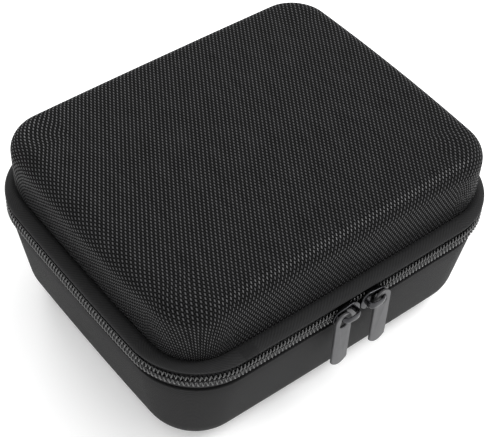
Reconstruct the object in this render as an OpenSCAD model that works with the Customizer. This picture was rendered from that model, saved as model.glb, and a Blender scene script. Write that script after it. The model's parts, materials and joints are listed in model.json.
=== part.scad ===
// Hard-shell zip-around case: two moulded shells joined by a zip and a fabric hinge at the back.
// Millimetres. The origin is at the centre of the underside, +X runs along the case,
// the front with the two sliders faces -Y, and +Z is up.

/* [Case] */
// Length of the case's outline, which lies just outside the zip's coils
case_length = 160; // [130:1:220]
// Depth of the case's outline, front to back
case_depth = 133; // [110:1:180]
// Height of the closed case
case_height = 80; // [66:1:110]
// Radius of the outline's corners seen from above
corner_radius = 28; // [23:0.5:36]
// Height of the zip's centre line above the underside
parting_height = 48.7; // [41:0.1:59]

/* [Base shell] */
// Setback of the base wall behind the outline
base_inset = 3.4; // [2.8:0.1:5]
// How much further the base wall draws in towards the underside
base_draft = 6; // [1:0.1:7]
// Radius along the base's lower edge
base_fillet = 16.5; // [8:0.5:20]
// Height of the lower zip tape that shows between the coils and the base's cover
tape_reveal = 3.1; // [2:0.1:5]

/* [Lid shell] */
// Setback of the lid wall behind the outline
flange_width = 7; // [5:0.1:9]
// Setback of the flange's rounded edge behind the outline
flange_setback = 1; // [0:0.1:1]
// Thickness of the flange with its fabric
flange_thickness = 2.7; // [2.2:0.1:4]
// Radius along the lid's top edge
lid_fillet = 7; // [5.5:0.5:10]

/* [Layers] */
// Thickness of the outer covers
cover_thickness = 0.7; // [0.5:0.05:1]
// Thickness of the moulded foam shells
core_thickness = 3.4; // [2.4:0.1:5]
// Thickness of the lining
lining_thickness = 0.6; // [0.4:0.1:1]
// Thickness of the flange's fabric
strip_thickness = 0.5; // [0.3:0.05:0.6]
// Thickness of the binding tape
binding_thickness = 0.5; // [0.3:0.05:0.8]

/* [Zip] */
// Setback of the zip tapes behind the outline
zip_inset = 2.5; // [2.3:0.1:3]
// Thickness of the zip tapes
tape_thickness = 0.6; // [0.4:0.05:0.7]
// Gap between the two tapes along the centre line
tape_gap = 1.6; // [1.4:0.1:2]
// Height of one coil
coil_height = 2.4; // [2:0.1:2.5]
// How far the coils stand out from the tapes
coil_depth = 1.6; // [1.2:0.1:1.7]
// Width of the fabric hinge, where the zip doesn't run
hinge_width = 68; // [40:1:70]

/* [Sliders] */
// Length of a slider
slider_length = 12.4; // [11:0.1:15]
// Thickness of a slider's folded side lips
slider_lip = 0.55; // [0.4:0.05:0.8]
// Thickness of a slider's plates
plate_thickness = 1; // [0.7:0.05:1.2]
// Radius of the bail's round leg, which carries the pull tab
bail_leg_r = 1.1; // [0.8:0.05:1.3]
// How far the bail reaches out from the slider
bail_reach = 3.6; // [3.4:0.1:5]
// Width of a pull tab
tab_width = 7.2; // [6:0.1:8.5]
// Length of a pull tab
tab_length = 28; // [18:0.2:30]
// Thickness of a pull tab
tab_thickness = 1.2; // [0.8:0.05:1.4]

/* [Interior] */
// Height of the foam insert's top below the rim of the base shell
foam_drop = 5.9; // [5.5:0.1:8]
// Foam left between the nests and the sides of the insert
foam_wall = 9.5; // [7:0.5:14]
// Foam left between neighbouring nests
foam_web = 6; // [3:0.5:10]
// How deep the nests are sunk into the foam
nest_sink = 24; // [12:1:26]
// Width of the cable pocket
cable_pocket_width = 28; // [20:1:36]
// Width of the stand's slot
stand_slot_width = 20; // [16:1:28]
// Length of the gap that is left between the mesh pocket and the front of the lid
pocket_mouth = 20; // [12:1:40]

/* [Hidden] */
$fn = 72;

glue = 0.05;          // gap between layers that are laminated or sewn together
fit = 0.3;            // clearance around loose pieces
arc_steps = 8;

// Corner centres of the outline
corner_x = case_length / 2 - corner_radius;
corner_y = case_depth / 2 - corner_radius;

// The coils are closed along the chain and spread apart around the sliders' wedges
coil_split = 0.1;     // half the gap between the closed coils
coil_spread = 0.7;    // how far each coil moves aside at the sliders' noses
spread_full = 3;      // distance from the middle within which the coils are fully spread
spread_end = 9;       // distance from the middle at which they are closed again
coil_inset = zip_inset - coil_depth - glue;
coil_half = coil_split + coil_height;

// A slider's half widths, around the spread coils at its nose and the closed ones at its tail
nose_r = coil_half + coil_spread + 0.25 + slider_lip;
tail_r = coil_half + 0.15 + slider_lip;
back_plate_y = zip_inset + tape_thickness + 0.2;
back_plate_thickness = plate_thickness * 0.9;

// Levels around the zip, which leave room for the sliders
zip_band = nose_r + 0.2;
flange_bottom = parting_height + zip_band;
flange_top = flange_bottom + flange_thickness;
shoulder = parting_height - zip_band;
rim_edge = shoulder - tape_reveal;
core_rim = shoulder - binding_thickness - 0.1;
tape_seam = 3;        // depth of the lower tape's seam behind the base cover
seam_inset = base_inset + cover_thickness + glue;

// Depths of the layers below the outer surface
core_d = cover_thickness + glue;
lining_d = core_d + core_thickness + glue;
inside_d = lining_d + lining_thickness;

// Base wall: a straight stretch below the rim, then a drafted one, then the fillet
straight_z = rim_edge - 4;
draft_angle = atan(base_draft / straight_z);
fillet = min(base_fillet, corner_radius - base_inset - base_draft - 2);
fillet_r = corner_radius - base_inset - base_draft - fillet * (1 - sin(draft_angle)) / cos(draft_angle);
lid_round = min(lid_fillet, case_height - flange_top - 4);

// Radius from a corner centre at an inset behind the outline
function r_at(inset) = corner_radius - inset;
function reversed(pts) = [for (i = [len(pts) - 1 : -1 : 0]) pts[i]];
function arc(cx, cy, r, a0, a1) =
    [for (i = [0 : arc_steps]) let (a = a0 + (a1 - a0) * i / arc_steps) [cx + r * cos(a), cy + r * sin(a)]];

// The base's surface at a depth below its outside, from the middle of the floor up to a level
function base_path(d, top) = concat(
    [[0, d]],
    arc(fillet_r, fillet, fillet - d, -90, -draft_angle),
    [[r_at(base_inset + d), straight_z * (1 + d * (1 / cos(draft_angle) - 1) / base_draft)]],
    [[r_at(base_inset + d), top]]
);

// The lid's surface at a depth below its outside, from a level up to the middle of the top
function lid_path(d, bottom) = concat(
    [[r_at(flange_width + d), bottom]],
    arc(r_at(flange_width + lid_round), case_height - lid_round, lid_round - d, 0, 90),
    [[0, case_height - d]]
);

// The rounded edge of the flange at a depth below its outside, from its top to its underside
function flange_edge(d) =
    arc(r_at(flange_setback + flange_thickness / 2), flange_bottom + flange_thickness / 2,
        flange_thickness / 2 - d, 90, -90);

// Sweeps a profile, given as [radius from the corner centre, height], around the case.
// rear_gap leaves out the middle of the back.
module around(rear_gap = 0) {
    for (sx = [-1, 1], sy = [-1, 1])
        translate([sx * corner_x, sy * corner_y, 0])
            rotate([0, 0, sx > 0 ? (sy > 0 ? 0 : -90) : (sy > 0 ? 90 : 180)])
                rotate_extrude(angle = 90) children();
    for (s = [-1, 1])
        translate([s * corner_x, s * corner_y, 0])
            rotate([90, 0, s > 0 ? 0 : 180]) linear_extrude(2 * corner_y) children();
    translate([corner_x, -corner_y, 0]) rotate([90, 0, -90]) linear_extrude(2 * corner_x) children();
    if (rear_gap > 0)
        for (x = [-corner_x, rear_gap / 2])
            rear_run(x, corner_x - rear_gap / 2) children();
    else
        rear_run(-corner_x, 2 * corner_x) children();
}

// Sweeps a profile along the back, from x for a length
module rear_run(x, length) {
    translate([x + length, corner_y, 0])
        rotate([90, 0, 90]) mirror([0, 0, 1]) linear_extrude(length) children();
}

// The flat middle of a shell or a block
module middle(z0, z1) {
    translate([-corner_x, -corner_y, z0]) cube([2 * corner_x, 2 * corner_y, z1 - z0]);
}

module rounded_rect(x0, y0, x1, y1, r) {
    translate([x0 + r, y0]) square([x1 - x0 - 2 * r, y1 - y0]);
    translate([x0, y0 + r]) square([x1 - x0, y1 - y0 - 2 * r]);
    for (x = [x0 + r, x1 - r], y = [y0 + r, y1 - r]) translate([x, y]) circle(r);
}

// ---- Base shell ----

module base_layer(d, thickness, top) {
    around() polygon(concat(base_path(d, top), reversed(base_path(d + thickness, top))));
    middle(d, d + thickness);
}

module base_cover() {
    color("#2b2b2d") base_layer(0, cover_thickness, rim_edge);
}

// Inset of the lower tape's outer face at a height between the rim's edge and the shoulder
function tape_inset(z) = zip_inset + (seam_inset - zip_inset) * (shoulder - z) / (shoulder - rim_edge);

module base_core() {
    seat = seam_inset + tape_thickness + glue;
    color("#1c1c1e") {
        around() polygon(concat(
            base_path(core_d, rim_edge - tape_seam - fit),
            [[r_at(seat), rim_edge - tape_seam - fit], [r_at(seat), rim_edge]],
            [[r_at(tape_inset(core_rim) + tape_thickness + glue), core_rim]],
            reversed(base_path(core_d + core_thickness, core_rim))
        ));
        middle(core_d, core_d + core_thickness);
    }
}

module base_lining() {
    color("#3a3a3e") base_layer(lining_d, lining_thickness, core_rim);
}

binding_leg = 5;
base_binding_inset = base_inset + inside_d + glue;

module base_binding() {
    z = core_rim + glue;
    outer = tape_inset(core_rim) + tape_thickness + 2 * glue;
    inner = base_binding_inset + binding_thickness;
    color("#18181a") around() polygon([
        [r_at(outer), z], [r_at(outer), z + binding_thickness],
        [r_at(inner), z + binding_thickness], [r_at(inner), z - binding_leg],
        [r_at(base_binding_inset), z - binding_leg], [r_at(base_binding_inset), z]
    ]);
}

// ---- Lid shell ----

module lid_layer(d, thickness, bottom) {
    around() polygon(concat(lid_path(d, bottom), reversed(lid_path(d + thickness, bottom))));
    middle(case_height - d - thickness, case_height - d);
}

module lid_cover() {
    color("#262628") lid_layer(0, cover_thickness, flange_top - strip_thickness);
}

flange_core_bottom = flange_bottom + strip_thickness + glue;

module lid_core() {
    edge_d = strip_thickness + glue;
    inner = flange_width + core_d + core_thickness;
    color("#1c1c1e") {
        around() polygon(concat(
            reversed(flange_edge(edge_d)),
            lid_path(core_d, flange_top - edge_d),
            reversed(lid_path(core_d + core_thickness, flange_core_bottom))
        ));
        middle(case_height - core_d - core_thickness, case_height - core_d);
    }
}

module lid_lining() {
    color("#3a3a3e") lid_layer(lining_d, lining_thickness, flange_core_bottom);
}

module flange_strip() {
    crease = flange_width - glue;
    hem = zip_inset - glue;
    color("#303033") around() polygon(concat(
        [[r_at(crease), flange_top]], flange_edge(0), [[r_at(hem), flange_bottom]],
        [[r_at(hem), flange_bottom + strip_thickness]], reversed(flange_edge(strip_thickness)),
        [[r_at(crease), flange_top - strip_thickness]]
    ));
}

lid_binding_inset = flange_width + inside_d + glue;
lid_binding_inner = lid_binding_inset + binding_thickness;
lid_binding_top = flange_bottom - tape_thickness - glue + strip_thickness;

module lid_binding() {
    outer = back_plate_y + back_plate_thickness + 0.4;
    z = lid_binding_top;
    color("#18181a") around() polygon([
        [r_at(outer), z - binding_thickness], [r_at(outer), z],
        [r_at(lid_binding_inset), z], [r_at(lid_binding_inset), z + binding_leg],
        [r_at(lid_binding_inner), z + binding_leg], [r_at(lid_binding_inner), z - binding_thickness]
    ]);
}

// ---- Zip ----

zip_rear_gap = hinge_width + 2 * fit;

module lower_zipper_tape() {
    outer = [[seam_inset, rim_edge - tape_seam], [seam_inset, rim_edge], [zip_inset, shoulder],
             [zip_inset, parting_height - tape_gap / 2]];
    color("#151516") around(zip_rear_gap) polygon(concat(
        [for (p = outer) [r_at(p[0]), p[1]]],
        [for (p = reversed(outer)) [r_at(p[0] + tape_thickness), p[1]]]
    ));
}

tape_leg_inset = zip_inset + 5.5;
tape_top = flange_bottom + strip_thickness;

module upper_zipper_tape() {
    color("#151516") around(zip_rear_gap) polygon([
        [r_at(zip_inset), parting_height + tape_gap / 2], [r_at(zip_inset), tape_top],
        [r_at(tape_leg_inset), tape_top], [r_at(tape_leg_inset), tape_top - tape_thickness],
        [r_at(zip_inset + tape_thickness), tape_top - tape_thickness],
        [r_at(zip_inset + tape_thickness), parting_height + tape_gap / 2]
    ]);
}

module coil(s) {
    chamfer = 0.4;
    z0 = coil_split;
    z1 = coil_half;
    front = case_depth / 2 - coil_inset;
    translate([0, 0, parting_height]) scale([1, 1, s]) {
        intersection() {
            around(zip_rear_gap) polygon([
                [r_at(coil_inset + coil_depth), z0], [r_at(coil_inset + coil_depth), z1],
                [r_at(coil_inset + chamfer), z1], [r_at(coil_inset), z1 - chamfer],
                [r_at(coil_inset), z0 + chamfer], [r_at(coil_inset + chamfer), z0]
            ]);
            union() {
                translate([-case_length, 0, 0]) cube([2 * case_length, case_depth, z1 + 1]);
                for (x = [-case_length, spread_end])
                    translate([x, -case_depth, 0]) cube([case_length - spread_end, case_depth, z1 + 1]);
            }
        }
        translate([0, -front + coil_depth, 0]) rotate([90, 0, 0]) linear_extrude(coil_depth) polygon([
            [-spread_end, z0], [-spread_full, z0 + coil_spread], [spread_full, z0 + coil_spread],
            [spread_end, z0], [spread_end, z1], [spread_full, z1 + coil_spread],
            [-spread_full, z1 + coil_spread], [-spread_end, z1]
        ]);
    }
}

module lower_zipper_coil() {
    color("#101011") coil(-1);
}

module upper_zipper_coil() {
    color("#101011") coil(1);
}

// ---- Hinge at the back ----

module hinge_strip_outer() {
    color("#222224") rear_run(-hinge_width / 2, hinge_width) polygon([
        [r_at(seam_inset), rim_edge - tape_seam], [r_at(seam_inset), rim_edge],
        [r_at(zip_inset), shoulder], [r_at(zip_inset), tape_top],
        [r_at(tape_leg_inset), tape_top], [r_at(tape_leg_inset), tape_top - tape_thickness],
        [r_at(zip_inset + tape_thickness), tape_top - tape_thickness],
        [r_at(zip_inset + tape_thickness), shoulder],
        [r_at(seam_inset + tape_thickness), rim_edge],
        [r_at(seam_inset + tape_thickness), rim_edge - tape_seam]
    ]);
}

module hinge_strip_inner() {
    inset = base_binding_inset + binding_thickness + glue;
    top = lid_binding_top - binding_thickness - glue;
    color("#222224") rear_run(-hinge_width / 2, hinge_width) polygon([
        [r_at(inset), core_rim - binding_leg + 1], [r_at(inset), top],
        [r_at(lid_binding_inner), top], [r_at(lid_binding_inner), top - lining_thickness],
        [r_at(inset + lining_thickness), top - lining_thickness],
        [r_at(inset + lining_thickness), core_rim - binding_leg + 1]
    ]);
}

module zip_end_tabs() {
    cap = 8;
    wall = 2.4;
    half = coil_half + 0.6;
    outer = case_depth / 2 - coil_inset + glue + strip_thickness;
    tape_face = case_depth / 2 - zip_inset + glue;
    inner_x = hinge_width / 2 - wall;
    color("#1a1a1c") for (s = [0, 1]) mirror([s, 0, 0]) {
        translate([inner_x, outer - strip_thickness, parting_height - half])
            cube([cap, strip_thickness, 2 * half]);
        translate([inner_x, tape_face, parting_height - half])
            cube([wall, outer - tape_face - strip_thickness / 2, 2 * half]);
    }
}

// ---- Interior ----

foam_d = inside_d + fit;
foam_top = core_rim - foam_drop;
nest_floor = foam_top - nest_sink;
nest_corner = 10;
slot_corner = 8;
notch_r = foam_wall - 2.5;

// Sides of the nests. The device nest takes what the cable pocket and the stand's slot leave.
foam_x = case_length / 2 - base_inset - foam_d - foam_wall;
foam_y = case_depth / 2 - base_inset - foam_d - foam_wall;
cable_x = foam_x - cable_pocket_width;
nest_x = cable_x - foam_web;
slot_y = stand_slot_width - foam_y;
nest_y = slot_y + foam_web;

module nest_cut(x0, y0, x1, y1, r) {
    translate([0, 0, nest_floor]) linear_extrude(nest_sink + 1) rounded_rect(x0, y0, x1, y1, r);
}

module foam_insert() {
    color("#242426") difference() {
        union() {
            around() polygon(concat(base_path(foam_d, foam_top), [[0, foam_top]]));
            middle(foam_d, foam_top);
        }
        nest_cut(-foam_x, nest_y, nest_x, foam_y, nest_corner);
        nest_cut(cable_x, -foam_y, foam_x, foam_y, slot_corner);
        nest_cut(-foam_x, -foam_y, nest_x, slot_y, slot_corner);
        translate([(nest_x - foam_x) / 2, foam_y, foam_top - nest_sink * 0.6])
            cylinder(r = notch_r, h = nest_sink);
    }
}

mesh_z = flange_bottom + 0.2;
mesh_thickness = 0.8;
hem_width = 4;
hem_height = 2;
mesh_inset = lid_binding_inner + glue;
mesh_x = case_length / 2 - mesh_inset;
mesh_y = case_depth / 2 - mesh_inset;
mesh_front = -mesh_y + pocket_mouth;

module mesh_pocket() {
    color("#39393c") translate([0, 0, mesh_z]) linear_extrude(mesh_thickness) difference() {
        rounded_rect(-mesh_x, -mesh_y, mesh_x, mesh_y, r_at(mesh_inset));
        translate([-case_length, -case_depth]) square([2 * case_length, case_depth + mesh_front]);
    }
}

module mesh_pocket_hem() {
    z = mesh_z + (mesh_thickness - hem_height) / 2;
    color("#1d1d1f") translate([-mesh_x, mesh_front - hem_width - glue, z])
        cube([2 * mesh_x, hem_width, hem_height]);
}

// ---- Sliders ----

// Each slider is drawn for the right-hand side, with its nose at x = 0, the outline's outermost
// edge at y = 0 and the zip's centre line at z = 0.
nose_gap = 0.2;
nose_x = nose_gap + nose_r;
tail_x = nose_gap + slider_length - tail_r;
front_face = coil_inset - 0.4 - plate_thickness;

bail_z = 0.4;         // height of the bail's round leg above the zip's centre line
bail_height = 3;
bail_bar = 1;
bail_x = tail_x - 0.2;
bail_y = front_face - bail_reach;

eye_r = bail_leg_r + 0.15;
eye_ring = 1.5;
eye_drop = 2.4;       // from the bail's leg down to the wide end of the eyelet
tab_y = (front_face + bail_y + bail_bar) / 2;
tab_top = eye_r + eye_ring;
tab_shoulder = tab_top - tab_width / 2;
tab_bow = 2.2;        // how far the tab's rounded end bows

module on_front(side) {
    mirror([side < 0 ? 1 : 0, 0, 0]) translate([0, -case_depth / 2, parting_height]) children();
}

// Raises a flat outline, drawn in x and z, from y0 for a thickness towards the back
module upright(y0, thickness) {
    translate([0, y0 + thickness, 0]) rotate([90, 0, 0]) linear_extrude(thickness) children();
}

module plate_outline(trim) {
    translate([nose_x, 0]) circle(nose_r - trim);
    translate([tail_x, 0]) circle(tail_r - trim);
    polygon([[nose_x, -nose_r + trim], [tail_x, -tail_r + trim], [tail_x, tail_r - trim],
             [nose_x, nose_r - trim]]);
}

module slider_body() {
    wedge = 0.55;
    wedge_y0 = front_face + plate_thickness / 2;
    upright(front_face, plate_thickness) plate_outline(0);
    upright(back_plate_y, back_plate_thickness) plate_outline(0.2);
    upright(wedge_y0, back_plate_y + back_plate_thickness / 2 - wedge_y0) polygon([
        [nose_gap + 0.9, 0], [spread_full, wedge], [spread_end - 3, 0], [spread_full, -wedge]
    ]);
    for (s = [-1, 1])
        upright(wedge_y0, zip_inset - 0.2 - wedge_y0) polygon([
            [nose_x - 0.6, s * (nose_r - 0.1)], [nose_x, s * (nose_r - 0.05)], [tail_x, s * (tail_r - 0.05)],
            [tail_x, s * (tail_r - slider_lip)], [nose_x, s * (nose_r - slider_lip)],
            [nose_x - 0.6, s * (nose_r - slider_lip)]
        ]);
}

module slider_bail() {
    translate([0, 0, bail_z]) {
        translate([nose_gap + 1.8, bail_y, -bail_height / 2])
            cube([bail_x + bail_leg_r - nose_gap - 1.8, bail_bar, bail_height]);
        translate([nose_gap + 1.8, bail_y + bail_bar / 2, -bail_height / 2])
            cube([bail_bar * 1.2, front_face - glue - bail_y - bail_bar / 2, bail_height]);
        translate([bail_x, front_face - glue, 0]) rotate([90, 0, 0])
            cylinder(r = bail_leg_r, h = front_face - glue - bail_y - bail_bar / 2);
    }
}

module pull_tab() {
    end_z = tab_top - tab_length;
    half = tab_width / 2;
    end_r = (half * half + tab_bow * tab_bow) / (2 * tab_bow);
    end_a = asin(half / end_r);
    translate([bail_x, 0, bail_z]) upright(tab_y - tab_thickness / 2, tab_thickness) difference() {
        polygon(concat(
            arc(0, tab_shoulder, half, 0, 180),
            arc(0, end_z + end_r, end_r, 270 - end_a, 270 + end_a)
        ));
        circle(eye_r);
        translate([0, -eye_drop]) circle(eye_r + 0.6);
        polygon([[-eye_r, 0], [eye_r, 0], [eye_r + 0.6, -eye_drop], [-eye_r - 0.6, -eye_drop]]);
    }
}

module left_slider_body() {
    color("#3c3d40") on_front(-1) slider_body();
}

module left_slider_bail() {
    color("#46474a") on_front(-1) slider_bail();
}

module left_pull_tab() {
    color("#77787a") on_front(-1) pull_tab();
}

module right_slider_body() {
    color("#3c3d40") on_front(1) slider_body();
}

module right_slider_bail() {
    color("#46474a") on_front(1) slider_bail();
}

module right_pull_tab() {
    color("#77787a") on_front(1) pull_tab();
}

base_cover();
base_core();
base_lining();
base_binding();
lower_zipper_tape();
lower_zipper_coil();
foam_insert();
hinge_strip_outer();
hinge_strip_inner();
zip_end_tabs();
lid_cover();
lid_core();
lid_lining();
lid_binding();
flange_strip();
upper_zipper_tape();
upper_zipper_coil();
mesh_pocket();
mesh_pocket_hem();
left_slider_body();
left_slider_bail();
left_pull_tab();
right_slider_body();
right_slider_bail();
right_pull_tab();
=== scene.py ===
import json
import math

import bmesh
import bpy
import numpy as np
from bpy.props import FloatProperty, FloatVectorProperty, IntProperty, PointerProperty
from mathutils import Matrix, Vector


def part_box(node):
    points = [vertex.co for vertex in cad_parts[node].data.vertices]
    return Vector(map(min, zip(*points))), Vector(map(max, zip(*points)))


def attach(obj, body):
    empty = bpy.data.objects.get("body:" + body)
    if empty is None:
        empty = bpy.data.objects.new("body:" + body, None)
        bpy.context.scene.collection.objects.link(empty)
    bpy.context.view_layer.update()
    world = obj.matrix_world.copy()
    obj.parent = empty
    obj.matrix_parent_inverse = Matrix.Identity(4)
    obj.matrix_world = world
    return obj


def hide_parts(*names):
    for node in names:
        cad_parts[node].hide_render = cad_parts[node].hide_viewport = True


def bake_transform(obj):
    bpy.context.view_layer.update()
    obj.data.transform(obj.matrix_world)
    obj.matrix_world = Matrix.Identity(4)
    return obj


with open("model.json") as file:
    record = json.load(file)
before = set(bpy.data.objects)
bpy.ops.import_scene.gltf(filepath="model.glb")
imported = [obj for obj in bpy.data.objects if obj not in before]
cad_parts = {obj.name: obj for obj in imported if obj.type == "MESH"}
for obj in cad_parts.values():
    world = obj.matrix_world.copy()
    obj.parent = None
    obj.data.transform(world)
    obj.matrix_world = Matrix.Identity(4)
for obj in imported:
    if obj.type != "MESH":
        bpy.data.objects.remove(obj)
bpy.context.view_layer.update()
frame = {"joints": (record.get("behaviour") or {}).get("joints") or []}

bl_info = {
    "name": "Zip-around hard case",
    "version": (1, 0, 0),
    "blender": (4, 5, 0),
    "location": "3D View > Sidebar > Hard case",
    "description": "Builds a hard-shell case's fabrics, zip, sliders and lining round its frame",
    "category": "Object",
}

MM = 0.001
HAIR = 0.001 * MM
FLANGE_LOW, FLANGE_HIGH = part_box("flange_strip")
CREASE = FLANGE_HIGH.z
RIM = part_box("base_cover")[1].z
CORE_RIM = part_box("base_core")[1].z
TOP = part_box("lid_cover")[1].z
HINGE = next(joint for joint in frame["joints"] if joint["name"] == "lid_hinge")
HINGE_Y, PARTING = HINGE["pos_m"][1:]
SETBACK = 1 * MM  # the flange stands this far inside the outline
FRONT = FLANGE_LOW.y - SETBACK
BINDING = 0.5 * MM  # thickness of the binding tapes
STITCH = 3 * MM  # length of one stitch
SPREAD = 0.65 * MM  # how far each coil rises between the sliders
SAG = 1.1 * MM  # how far the net pocket hangs
EYE = PARTING + 0.4 * MM  # height of the tabs' eyelets
LONG_STEPS, SHORT_STEPS = 16, 12  # facets along the case's sides and ends


def length(name, description, default):
    """A size in metres that the user can change."""
    return FloatProperty(name=name, description=description, default=default, unit="LENGTH",
                         precision=5)


def shade(name, description, default):
    """A colour that the user can change."""
    return FloatVectorProperty(name=name, description=description, default=default,
                               subtype="COLOR", size=3, min=0, max=1)


def share(name, description, default, high=1.0):
    """A number without a unit that the user can change."""
    return FloatProperty(name=name, description=description, default=default, min=0, max=high)


class CaseShape(bpy.types.PropertyGroup):
    """Outline of the case and the layers of its two shells."""

    half_length: length("Half length", "From the middle to the outline's end",
                        FLANGE_HIGH.x + SETBACK)
    half_depth: length("Half depth", "From the middle to the outline's front",
                       FLANGE_HIGH.y + SETBACK)
    corner_radius: length("Corner radius", "Radius of the outline's corners", 28 * MM)
    lid_corner: length("Lid corner radius", "Radius of the lid's wall at its corners", 15.6 * MM)
    side_bow: length("Side bow", "How far the long sides bow out between the corners", 0.72 * MM)
    end_bow: length("End bow", "How far the short sides bow out between the corners", 1.42 * MM)
    end_bulge: length("End bulge", "How far the lid's end walls bulge between the corners",
                      1.05 * MM)
    lid_crown: length("Lid crown", "How far the lid's top is domed", 0.9 * MM)
    base_inset: length("Base inset", "Setback of the base wall behind the outline", 3.4 * MM)
    base_draft: length("Base draft", "How far the base wall draws in to the underside", 6 * MM)
    base_fillet: length("Base fillet", "Radius along the base's lower edge", 16.5 * MM)
    flange_width: length("Flange width", "Setback of the lid wall behind the outline", 7 * MM)
    lid_fillet: length("Lid fillet", "Radius along the lid's top edge", 7 * MM)
    cover: length("Cover thickness", "Thickness of the outer fabrics", 0.7 * MM)
    core: length("Core thickness", "Thickness of the moulded foam shells", 3.4 * MM)
    lining: length("Lining thickness", "Thickness of the lining", 0.6 * MM)
    glue: length("Layer gap", "Gap between neighbouring layers", 0.05 * MM)
    corner_steps: IntProperty(name="Corner steps", description="Facets round each corner",
                              default=22, min=8, max=48)


class ZipShape(bpy.types.PropertyGroup):
    """The zip's tapes and coils, and the fabric hinge behind it."""

    inset: length("Tape inset", "Setback of the zip tapes behind the outline", 2.5 * MM)
    tape: length("Tape thickness", "Thickness of the zip tapes", 0.6 * MM)
    coil_depth: length("Coil depth", "How far the coils stand out from the tapes", 1.6 * MM)
    coil_height: length("Coil height", "Height of one coil", 2.65 * MM)
    pitch: length("Tooth pitch", "Distance from one coil turn to the next", 1.6 * MM)
    wire: length("Wire radius", "Radius of the coils' nylon wire", 0.35 * MM)
    rear_gap: length("Rear gap", "Width at the back where the zip doesn't run", 68.6 * MM)
    hinge_width: length("Hinge width", "Width of the fabric hinge", 68 * MM)


class SliderShape(bpy.types.PropertyGroup):
    """The two sliders and their pull tabs."""

    nose_radius: length("Nose radius", "Half width of a slider at its nose", 4 * MM)
    tail_radius: length("Tail radius", "Half width of a slider at its tail", 3.2 * MM)
    slider_length: length("Slider length", "Length of a slider", 12.4 * MM)
    tab_width: length("Tab width", "Width of a pull tab", 7.2 * MM)
    tab_bow: length("Tab end bow", "How far a tab's lower end bows", 2.2 * MM)


class InsertShape(bpy.types.PropertyGroup):
    """The foam insert's nests and the lid's net."""

    wall: length("Foam wall", "Foam left between the nests and the sides", 9.5 * MM)
    web: length("Foam web", "Foam left between neighbouring nests", 6 * MM)
    sink: length("Nest depth", "How deep the nests are sunk", 24 * MM)
    cable_pocket: length("Cable pocket", "Width of the cable pocket", 28 * MM)
    stand_slot: length("Stand slot", "Width of the stand's slot", 20 * MM)
    net_pitch: length("Net pitch", "Distance between the net's yarns", 2.2 * MM)
    net_yarn: length("Net yarn", "Thickness of the net's yarns", 0.42 * MM)


class FabricLook(bpy.types.PropertyGroup):
    """Weaves and colours of the fabrics."""

    warp_pitch: length("Warp pitch", "Width of the lid fabric's yarns along the case", 0.85 * MM)
    weft_pitch: length("Weft pitch", "Width of the lid fabric's yarns front to back", 1.33 * MM)
    fine_pitch: length("Fine pitch", "Yarn pitch of the base's fabric", 0.46 * MM)
    # The lid's two colours are the ends of its painted light: the yarns' tone up to a painted glint
    # on their crowns, and painted shade between the yarns.
    lid_yarn: shade("Lid yarn", "Colour of the lid fabric's yarns", (0.058, 0.058, 0.06))
    lid_gap_shade: shade("Lid gaps", "Colour between the lid fabric's yarns", (0.0012, 0.0012, 0.0012))
    base_yarn: shade("Base yarn", "Colour of the base's fabric", (0.0095, 0.0095, 0.0098))
    lining: shade("Lining", "Colour of the lining", (0.035, 0.035, 0.038))
    foam: shade("Foam", "Colour of the foam insert", (0.018, 0.018, 0.019))
    tape: shade("Tape", "Colour of the tapes", (0.012, 0.012, 0.0125))
    coil: shade("Coil", "Colour of the nylon coils", (0.006, 0.006, 0.0063))


class MetalLook(bpy.types.PropertyGroup):
    """Finishes of the sliders and their tabs."""

    slider: shade("Slider", "Reflection colour of the sliders' black nickel",
                  (0.045, 0.045, 0.048))
    slider_roughness: share("Slider roughness", "Roughness of the sliders", 0.16)
    tab: shade("Tab", "Reflection colour of the pull tabs", (0.115, 0.115, 0.118))
    tab_roughness: share("Tab roughness", "Roughness of the pull tabs", 0.42)


class StudioSetup(bpy.types.PropertyGroup):
    """The floor, the lights and the camera."""

    world: share("Surround", "Brightness of the white surround", 1.05, 5)
    key: share("Key light", "Power of the large light above the front right, in watts", 5.0, 100)
    fill: share("Fill light", "Power of the light on the left, in watts", 0.6, 100)
    rim: share("Rim light", "Power of the light behind, in watts", 2.0, 100)
    floor: shade("Floor", "Colour of the floor", (0.97, 0.97, 0.97))


class HardCase(bpy.types.PropertyGroup):
    """All the groups of settings."""

    case: PointerProperty(type=CaseShape, name="Case", description="The two shells")
    zip: PointerProperty(type=ZipShape, name="Zip", description="Tapes, coils and hinge")
    sliders: PointerProperty(type=SliderShape, name="Sliders", description="Sliders and tabs")
    insert: PointerProperty(type=InsertShape, name="Insert", description="Foam and net")
    fabric: PointerProperty(type=FabricLook, name="Fabric", description="Weaves and colours")
    metal: PointerProperty(type=MetalLook, name="Metal", description="Finishes of the metal")
    studio: PointerProperty(type=StudioSetup, name="Studio", description="Lights and floor")


def settings():
    """The add-on's settings."""
    return bpy.context.scene.hardcase


# ---- Modelling by hand ----

def deselect():
    """Leaves edit mode and deselects every object, so that operators act on the new piece alone."""
    if bpy.context.object and bpy.context.object.mode != "OBJECT":
        bpy.ops.object.mode_set(mode="OBJECT")
    bpy.ops.object.select_all(action="DESELECT")


def activate(*pieces):
    """Selects these pieces alone; the first is the active one."""
    deselect()
    for piece in pieces:
        piece.select_set(True)
    bpy.context.view_layer.objects.active = pieces[0]


def edit(piece=None):
    """Enters edit mode on this piece alone, or on the one that was just added."""
    if piece:
        activate(piece)
    bpy.ops.object.mode_set(mode="EDIT")


def named(name):
    """Gives the piece that was just added its name and puts its place into its mesh."""
    piece = bpy.context.object
    piece.name = piece.data.name = name
    bpy.ops.object.transform_apply(location=True, rotation=True, scale=True)
    return piece


def pick(piece, kind, test):
    """In edit mode, selects the vertices or edges that pass the test."""
    bpy.ops.mesh.select_mode(type=kind)
    bpy.ops.mesh.select_all(action="DESELECT")
    cage = bmesh.from_edit_mesh(piece.data)
    for part in {"VERT": cage.verts, "EDGE": cage.edges}[kind]:
        if test(part):
            part.select_set(True)
    bmesh.update_edit_mesh(piece.data)


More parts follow.
